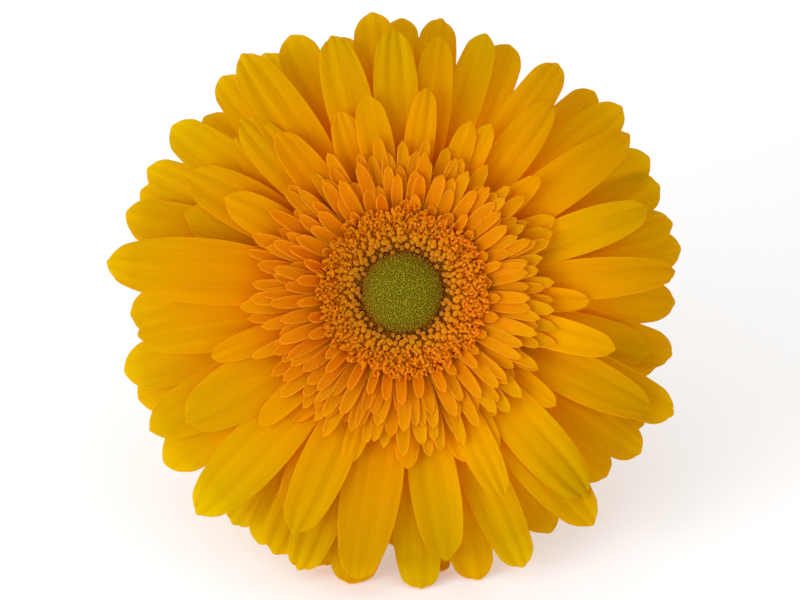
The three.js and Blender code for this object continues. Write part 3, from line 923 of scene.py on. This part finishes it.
class GERBERA_OT_disc_florets(bpy.types.Operator):
    """Makes the ring of open and closed florets round the green centre"""

    bl_idname = "gerbera.disc_florets"
    bl_label = "Disc florets"

    spacing: FloatProperty(name="Spacing", description="Size of the spiral, in millimetres", default=0.62)
    small: IntProperty(name="Small buds", description="Number of small buds between the florets", default=900)

    def execute(self, context):
        petals, colours, _ = use(context)
        draw = random.Random(petals.seed + 2)
        closed, opening, opened = template(closed_floret), template(opening_floret), template(open_floret, 2)
        bm = bmesh.new()
        floret_layers(bm)
        deck(bm, None, DISC_DECK)
        inner, outer = FLORET_RING["inner"], FLORET_RING["outer"]
        self.shade_deck(bm, inner)
        self.undergrowth(bm, inner, outer, draw)
        first, last = (int((rim / self.spacing) ** 2) for rim in (inner, outer))
        for number in range(first, last + 1):
            radius = self.spacing * math.sqrt(number)
            share = (radius - inner) / (outer - inner)
            turn = number * GOLDEN_ANGLE + draw.uniform(-0.02, 0.02)
            kind = share + draw.uniform(-0.12, 0.12)
            shape = closed if kind < 0.36 else opening if kind < 0.5 or draw.random() < 0.35 else opened
            wobble = 14 + 8 * smooth(0, 0.5, share)
            spin = {closed: math.pi, opening: 0.4, opened: 1.1}[shape]
            size = blend(0.8, 1.1, smooth(0, 0.3, share))
            place = perch(
                turn, (radius + draw.uniform(-0.2, 0.2), 0, FLORET_ROOT_HEIGHT),
                math.radians(FLORET_LEAN * share**2 + draw.uniform(-wobble, wobble)),
                math.radians(draw.uniform(-wobble, wobble)), draw.gauss(0, spin),
                (
                    size * draw.uniform(0.9, 1.25), size * draw.uniform(0.8, 1.05),
                    draw.uniform(0.85, 1.1) * blend(0.95, 1.1, share),
                ),
            )
            # The turn runs anticlockwise from the right, and a bearing clockwise from the top.
            # Partly painted light: the tone, which makes a floret lighter and yellower, is raised on the side
            # painted as lit.
            tone = painted_light_tone(math.pi / 2 - turn, draw)
            stamp(bm, shape, HEAD_MM @ place, floret_tone=tone, floret_share=share)
        finished("disc_ring", bm, (floret_material(colours),), "disc_florets")
        return {"FINISHED"}

    def undergrowth(self, bm, inner, outer, draw):
        """Small buds between the florets, which hide the deck; they stand low, so they take mostly the
        painted shade colours.
        """
        shape = template(bud_shape, highest=0.36)
        for number in range(self.small):
            radius = math.sqrt(blend((inner - 0.4) ** 2, outer**2, (number + 0.5) / self.small))
            share = max(0.0, (radius - inner) / (outer - inner))
            height = blend(*UNDERGROWTH_HEIGHT, share)
            place = perch(
                number * GOLDEN_ANGLE, (radius, draw.uniform(-0.2, 0.2), height),
                draw.uniform(-0.3, 0.3), 0, draw.uniform(0, math.tau), [draw.uniform(1.2, 2.1)] * 3,
            )
            stamp(bm, shape, HEAD_MM @ place, floret_tone=draw.random(), floret_share=share)

    def shade_deck(self, bm, inner):
        """Gives the deck a lower middle; the deck takes the painted shade colours, darkest in the middle,
        which shows between the florets next to the green.
        """
        share = bm.verts.layers.float["floret_share"]
        for vert in bm.verts:
            vert[share] = 1
        bm.normal_update()
        facing = HEAD.to_3x3() @ Vector((0, 0, 1))
        cap = max((f for f in bm.faces if len(f.verts) > 4), key=lambda f: f.calc_center_median().dot(facing))
        rim = set(cap.verts)
        wide = (DISC_DECK["radius"] - inner) * MM
        bmesh.ops.inset_region(bm, faces=[cap], thickness=wide, depth=-0.7 * MM)
        for vert in cap.verts:
            vert[share] = 0 if vert not in rim else 1


class GERBERA_OT_disc_buds(bpy.types.Operator):
    """Makes the green centre of unopened buds"""

    bl_idname = "gerbera.disc_buds"
    bl_label = "Unopened buds"

    count: IntProperty(name="Buds", description="Number of buds in the green centre", default=1500)

    def execute(self, context):
        petals, colours, _ = use(context)
        draw = random.Random(petals.seed + 3)
        shape = template(bud_shape)
        bm = bmesh.new()
        layers = floret_layers(bm)
        radii = [DOME["radius"] * (1 - step / 8) for step in range(9)]
        foot = [(0, DOME["bottom"]), (DOME["radius"], DOME["bottom"])]
        turned(bm, foot + [(radius, dome_height(radius)) for radius in radii], 48)
        for vert in bm.verts:
            vert[layers[2]] = math.hypot(vert.co.x, vert.co.y) / DOME["radius"]
            vert.co = HEAD @ (vert.co * MM)
        for number in range(self.count):
            radius = (DOME["radius"] - 0.08) * math.sqrt((number + 0.5) / self.count)
            lean = math.atan(2 * radius * (DOME["crown"] - DOME["rim"]) / DOME["radius"] ** 2)
            aside = (draw.uniform(-0.13, 0.13), draw.uniform(-0.13, 0.13))
            place = perch(
                number * GOLDEN_ANGLE, (radius + aside[0], aside[1], dome_height(radius)),
                lean + math.radians(draw.uniform(-14, 14)), 0, draw.uniform(0, math.tau),
                [draw.uniform(0.7, 1.15)] * 3,
            )
            share = radius / DOME["radius"]
            stamp(bm, shape, HEAD_MM @ place, floret_tone=draw.random(), floret_share=share)
        finished("green_centre", bm, (bud_material(colours),), "disc_buds")
        return {"FINISHED"}


def hair_shape():
    """One hair: a three-sided spike, one millimetre long."""
    bm = bmesh.new()
    cone(bm, 3, (0.032, 0.006), (0, 1), capped=False)
    return mesh_of(bm, "hair shape")


def hair_place(root, along, length):
    """Where a hair stands on a root point, in millimetres, and points along a direction."""
    turn = along.to_track_quat("Z", "Y").to_matrix().to_4x4()
    return Matrix.Translation(root) @ turn @ Matrix.Diagonal((1, 1, length, 1))


def cup_radius(height):
    for (r0, z0), (r1, z1) in zip(CUP_PROFILE, CUP_PROFILE[1:]):
        if height <= z1:
            return blend(r0, r1, (height - z0) / (z1 - z0))
    return CUP_PROFILE[-1][0]


class GERBERA_OT_involucre(bpy.types.Operator):
    """Makes the green cup and its bracts"""

    bl_idname = "gerbera.involucre"
    bl_label = "Involucre"

    def execute(self, context):
        petals, colours, down = use(context)
        bm = bmesh.new()
        layers = petal_layers(bm)
        turned(bm, ((0, CUP_BOTTOM), *CUP_PROFILE, (0, CUP_TOP)), 72)
        for vert in bm.verts:
            turn = math.atan2(vert.co.y, vert.co.x)
            vert[layers[0]] = (abs(turn) * CUP_VEIN_RADIUS, vert.co.z, FAR_FROM_EDGE)
            vert[layers[1]] = (0.5, 0, 0.5, 1)
            vert.co = HEAD @ (vert.co * MM)
        draw = random.Random(petals.seed + 4)
        hairs = {"bm": bmesh.new(), "count": down.per_bract, "length": down.length / MM}
        shape = hair_shape()
        for level, row in enumerate(BRACT_ROWS):
            for i in range(row["count"]):
                angle = math.radians((i + level * 0.5 + draw.uniform(-0.12, 0.12)) * 360 / row["count"])
                self.bract(bm, layers, hairs, shape, angle, row, draw)
        finished(
            "bracts", bm, (green_material("bract", colours, 0.8, 1.6, tip=BURNT_TIP),),
            "involucre", petals.thickness * BRACT_THICK,
        )
        finished("bract_down", hairs["bm"], (down_material(down),), "involucre")
        return {"FINISHED"}

    def bract(self, bm, layers, hairs, shape, angle, row, draw):
        outward, sideways = ways(angle)
        tone, shift = draw.random(), draw.uniform(-0.5, 0.3)
        curl, lean = draw.uniform(-0.3, 0.5), draw.uniform(-0.5, 0.5)

        def surface(across, t):
            height = blend(row["from"], row["to"] + shift, t)
            wide = row["width"] / 2 * spread(t, 0.4, BRACT_WIDEST, 0.97, 1.6)
            stand = blend(BRACT_STAND["root"], BRACT_STAND["tip"], t) + curl * smooth(0.7, 1, t)
            stand += 0.25 * (1 - across * across) * wide / 2 - 0.3 * smooth(0.8, 1, t)
            stand += 0.14 * smooth(0.3, 0, abs(across))
            point = outward * (cup_radius(height) + stand) + sideways * (across * wide + lean * t * t)
            point.z += height
            return point, wide

        for vert in grid(bm, BRACT_GRID):
            across, t = -vert.co.x, (vert.co.y + 1) / 2
            point, wide = surface(across, t)
            vert[layers[0]] = (across * wide + tone * 40, t * 8, (1 - abs(across)) * wide)
            vert[layers[1]] = (tone, 0, t, 1)
            vert.co = HEAD @ (point * MM)
        for _ in range(hairs["count"]):
            across, t = draw.uniform(-0.95, 0.95), draw.uniform(0.15, 1)
            root = surface(across, t)[0] + outward * 0.2
            along = outward + sideways * (0.5 * across + draw.gauss(0, 0.25))
            along.z += draw.gauss(0.35, 0.3)
            length = hairs["length"] * draw.uniform(0.6, 1.4)
            stamp(hairs["bm"], shape, HEAD_MM @ hair_place(root, along, length))


def stem_slope(length):
    share = min(length / STEM_FALL_LENGTH, 1)
    return FACE_ELEVATION * math.cos(math.pi / 2 * share) ** 2


class GERBERA_OT_stem(bpy.types.Operator):
    """Makes the ribbed stem with its slanted cut"""

    bl_idname = "gerbera.stem"
    bl_label = "Stem"

    def execute(self, context):
        petals, colours, down = use(context)
        bm = bmesh.new()
        layers = petal_layers(bm)
        start = STEM_GAP - CUP_BOTTOM
        centre = HEAD_CENTRE + start * Vector((0, math.cos(FACE_ELEVATION), -math.sin(FACE_ELEVATION)))
        self.path, self.stride = [], STEM_LENGTH / STEM_STEPS
        for step in range(STEM_STEPS + 1):
            self.path.append(centre.copy())
            slope = stem_slope((step + 0.5) * self.stride)
            centre += self.stride * Vector((0, math.cos(slope), -math.sin(slope)))
        self.path[0] -= (self.path[1] - self.path[0]) * STEM_SINK / self.stride
        for vert in grid(bm, (STEM_SIDES, STEM_STEPS)):
            turn, share = math.pi * vert.co.x, (vert.co.y + 1) / 2
            vert[layers[0]] = (abs(turn) * STEM_VEIN_RADIUS, share * STEM_LENGTH, FAR_FROM_EDGE)
            vert[layers[1]] = (0.5, 0, share, 1)
            vert.co = self.skin(turn, round(share * STEM_STEPS))[0] * MM
        bmesh.ops.remove_doubles(bm, verts=bm.verts, dist=1e-6)
        self.cut(bm, layers)
        bmesh.ops.holes_fill(bm, edges=[e for e in bm.edges if e.is_boundary], sides=0)
        bmesh.ops.recalc_face_normals(bm, faces=bm.faces)
        for edge in bm.edges:
            edge.smooth = edge.calc_face_angle(0) < SHARP_CORNER
        finished("scape", bm, (green_material("stem", colours, 1.25, 1.2),), "stem")
        self.add_down(down, random.Random(petals.seed + 5))
        return {"FINISHED"}

    def skin(self, turn, step):
        """A point of the skin, and the direction in which the skin faces there."""
        share = step / STEM_STEPS
        slope = stem_slope(step * self.stride)
        ribs = 1 - STEM_RIB_DEPTH * (1 + math.cos(STEM_RIBS * turn + 0.004 * step))
        radius = blend(STEM_NECK_RADIUS, STEM_FOOT_RADIUS, share) * STEM_FLAT * ribs
        upward = math.cos(turn)
        facing = Vector((math.sin(turn), upward * math.sin(slope), upward * math.cos(slope)))
        point = self.path[step] + facing * radius
        point.x += STEM_SWAY * math.sin(math.pi * share) ** 2
        slant = STEM_CUT_SLANT * radius * (1 + upward)
        point.y -= slant * smooth(STEM_LENGTH - STEM_CUT_REACH, STEM_LENGTH, share * STEM_LENGTH)
        return point, facing

    def cut(self, bm, layers):
        """The cut end: a pale wall of flesh round a hollow."""
        foot = self.path[-1]
        skin = STEM_FOOT_RADIUS * STEM_FLAT * (1 - STEM_RIB_DEPTH)
        rim = [e for e in bm.edges if e.is_boundary and e.verts[0].co.y > 0]
        for share, deep in STEM_HOLLOW:
            rim, points = extended(bm, rim)
            for vert in points:
                turn = math.atan2(vert.co.x / MM - foot.x, vert.co.z / MM - foot.z)
                back = STEM_CUT_SLANT * skin * (1 + share * math.cos(turn)) + deep
                ring = Vector((skin * share * math.sin(turn), -back, skin * share * math.cos(turn)))
                vert.co = (foot + ring) * MM
                vert[layers[0]] = (abs(turn) * STEM_VEIN_RADIUS, share * 30, FAR_FROM_EDGE)
                vert[layers[1]] = (0.5, 1 - smooth(1, STEM_HOLLOW[-1][1], deep), 1, 1)

    def add_down(self, down, draw):
        hairs = bmesh.new()
        shape = hair_shape()
        for _ in range(down.on_stem):
            turn, step = draw.uniform(-math.pi, math.pi), draw.randrange(STEM_STEPS - 7)
            root, facing = self.skin(turn, step)
            root.y += draw.uniform(0, self.stride)
            along = facing + Vector((draw.gauss(0, 0.3), draw.gauss(0.2, 0.3), draw.gauss(0, 0.3)))
            length = down.length / MM * draw.uniform(0.5, 1.3)
            if (root + along.normalized() * length).z > 0.3:
                stamp(hairs, shape, WORLD_MM @ hair_place(root, along, length))
        finished("scape_down", hairs, (down_material(down),), "stem")


class GERBERA_OT_stage(bpy.types.Operator):
    """Sets up the pale floor, the soft light and the camera"""

    bl_idname = "gerbera.stage"
    bl_label = "Stage"

    def execute(self, context):
        scene = context.scene
        stage = scene.gerbera_stage
        scene.view_settings.view_transform = "Standard"
        face = HEAD.to_3x3() @ Vector((0, 0, 1))
        up = HEAD.to_3x3() @ Vector((0, 1, 0))
        right = Vector((1, 0, 0))
        aim = (HEAD_CENTRE + right * AIM["right"] + up * AIM["up"]) * MM
        camera = bpy.data.objects.new("camera", bpy.data.cameras.new("camera"))
        camera.data.lens = camera.data.sensor_width * stage.camera_distance / stage.view_width
        camera.data.clip_end = 20
        upright = HEAD.to_3x3().to_4x4()
        camera.matrix_world = Matrix.Translation(aim + face * stage.camera_distance) @ upright
        scene.collection.objects.link(camera)
        scene.camera = camera
        self.floor(scene)
        offset = face * KEY_OFFSET["face"] + right * KEY_OFFSET["right"] + up * KEY_OFFSET["up"]
        self.lamp(scene, aim, offset, stage.key_power)
        world = bpy.data.worlds.new("surround")
        world.use_nodes = True
        ground = world.node_tree.nodes["Background"]
        ground.inputs["Color"].default_value = (1, 1, 1, 1)
        ground.inputs["Strength"].default_value = stage.sky
        scene.world = world
        return {"FINISHED"}

    def floor(self, scene):
        bm = bmesh.new()
        bmesh.ops.create_grid(bm, x_segments=1, y_segments=1, size=2)
        bmesh.ops.translate(bm, verts=bm.verts, vec=(0, 0, -0.0002))
        mesh = mesh_of(bm, "floor")
        material, tree = new_tree("pale floor")
        skin = node(
            tree, "ShaderNodeBsdfPrincipled",
            {
                "Base Color": (0.95, 0.95, 0.95, 1), "Roughness": 0.9, "Specular IOR Level": 0.1,
                "Emission Color": (1, 1, 1, 1), "Emission Strength": 0.12,
            },
        )
        node(tree, "ShaderNodeOutputMaterial", {"Surface": skin.outputs[0]})
        mesh.materials.append(material)
        floor = bpy.data.objects.new("floor", mesh)
        scene.collection.objects.link(floor)

    def lamp(self, scene, aim, offset, power):
        light = bpy.data.lights.new("key", "AREA")
        light.shape, light.size, light.energy = "DISK", KEY_SIZE, power
        lamp = bpy.data.objects.new("key", light)
        lamp.location = aim + offset
        lamp.rotation_euler = offset.to_track_quat("Z", "Y").to_euler()
        scene.collection.objects.link(lamp)


class VIEW3D_PT_gerbera(bpy.types.Panel):
    """Lists the flower's pieces and its stage"""

    bl_label = "Gerbera"
    bl_idname = "VIEW3D_PT_gerbera"
    bl_space_type = "VIEW_3D"
    bl_region_type = "UI"
    bl_category = "Gerbera"

    def draw(self, context):
        for setting in GROUPS:
            group = getattr(context.scene, setting)
            box = self.layout.box()
            for name in group.__annotations__:
                box.prop(group, name)
        for step in STEPS:
            self.layout.operator(step.bl_idname)


STEPS = (
    GERBERA_OT_stage,
    GERBERA_OT_ray_florets,
    GERBERA_OT_trans_florets,
    GERBERA_OT_disc_florets,
    GERBERA_OT_disc_buds,
    GERBERA_OT_involucre,
    GERBERA_OT_stem,
)
GROUPS = {
    "gerbera_petals": GerberaPetals,
    "gerbera_colours": GerberaColours,
    "gerbera_down": GerberaDown,
    "gerbera_stage": GerberaStage,
}


def register():
    for cls in (*GROUPS.values(), *STEPS, VIEW3D_PT_gerbera):
        bpy.utils.register_class(cls)
    for name, group in GROUPS.items():
        setattr(bpy.types.Scene, name, PointerProperty(type=group))


def unregister():
    for name in GROUPS:
        delattr(bpy.types.Scene, name)
    for cls in reversed((*GROUPS.values(), *STEPS, VIEW3D_PT_gerbera)):
        bpy.utils.unregister_class(cls)


def main():
    register()
    for step in STEPS:
        category, name = step.bl_idname.split(".")
        getattr(getattr(bpy.ops, category), name)()


if __name__ == "__main__":
    main()
